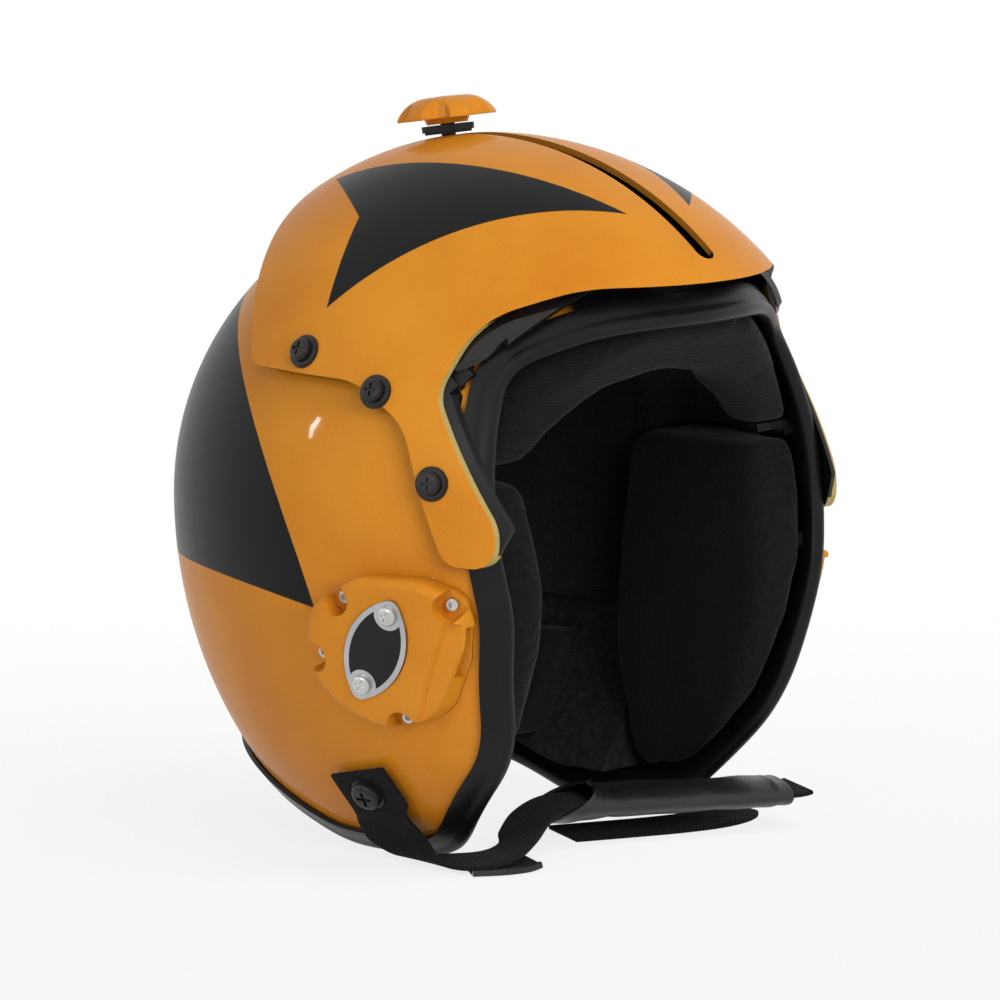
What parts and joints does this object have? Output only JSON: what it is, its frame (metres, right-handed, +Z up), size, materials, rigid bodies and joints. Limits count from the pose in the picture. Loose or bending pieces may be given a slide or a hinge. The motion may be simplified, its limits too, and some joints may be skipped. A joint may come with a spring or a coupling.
{
  "type": "pilot flight helmet",
  "caption": "Open-face pilot flight helmet with an outer visor cover, a clamped sliding smoke visor, domed ear covers, padded lining and a screwed-on chin strap.",
  "frame": {"origin": "middle of the footprint at the ground, under the trim's lowest edge", "axes": "+Z up towards the crown, -Y the way the wearer looks, +X the wearer's left"},
  "size_m": [0.264, 0.267, 0.3026],
  "materials": {
    "shell_paint": "clear-coated ochre orange",
    "trim_rubber": "satin",
    "liner_foam": "fine bead foam",
    "pad_knit": "fine rib knit",
    "smoke_lens": "smoke grey",
    "track_plastic": "satin",
    "black_steel": "black oxide",
    "brass": "turned",
    "zinc_steel": "zinc",
    "badge_metal": "satin",
    "webbing": "cross-ribbed webbing",
    "sleeve_leather": "grained"
  },
  "bodies": {
    "helmet": {"shell": "shell_paint", "edge_trim": "trim_rubber", "energy_liner": "liner_foam", "crown_pad": "pad_knit", "rear_pad": "pad_knit", "nape_pad": "pad_knit", "brow_pad": "pad_knit", "cheek_pad_right": "pad_knit", "cheek_pad_left": "pad_knit", "visor_cover": "shell_paint", "visor_track_right": "track_plastic", "visor_track_left": "track_plastic", "cover_cup_washers": "track_plastic", "cover_screws": "black_steel", "cover_nuts": "zinc_steel", "ear_cover_right": "shell_paint", "ear_cover_left": "shell_paint", "badge_plate_right": "badge_metal", "badge_plate_left": "badge_metal", "badge_inset_right": "track_plastic", "badge_inset_left": "track_plastic", "badge_screws_right": "badge_metal", "badge_screws_left": "badge_metal", "ear_cover_screws": "zinc_steel", "ear_cover_nuts": "zinc_steel", "chin_strap_right": "webbing", "chin_strap_left": "webbing", "strap_washers": "black_steel", "strap_screws": "black_steel", "strap_nuts": "zinc_steel", "chin_pad": "sleeve_leather", "strap_end_tab": "webbing"},
    "visor": {"visor_lens": "smoke_lens", "visor_stud": "black_steel", "stud_washer": "track_plastic", "friction_pad": "trim_rubber", "slide_plate": "track_plastic"},
    "knob": {"knob": "shell_paint", "knob_insert": "brass"}
  },
  "joints": [
    {"name": "visor_slide", "type": "hinge", "parent": "helmet", "child": "visor", "pos_m": [0, -0.0105, 0.107], "axis": [1, 0, 0], "range_deg": [0, 45]},
    {"name": "knob_turn", "type": "hinge", "parent": "visor", "child": "knob", "pos_m": [0, -0.0105, 0.107], "axis": [0, 0.1547, 0.988], "range_deg": [0, 120]}
  ]
}
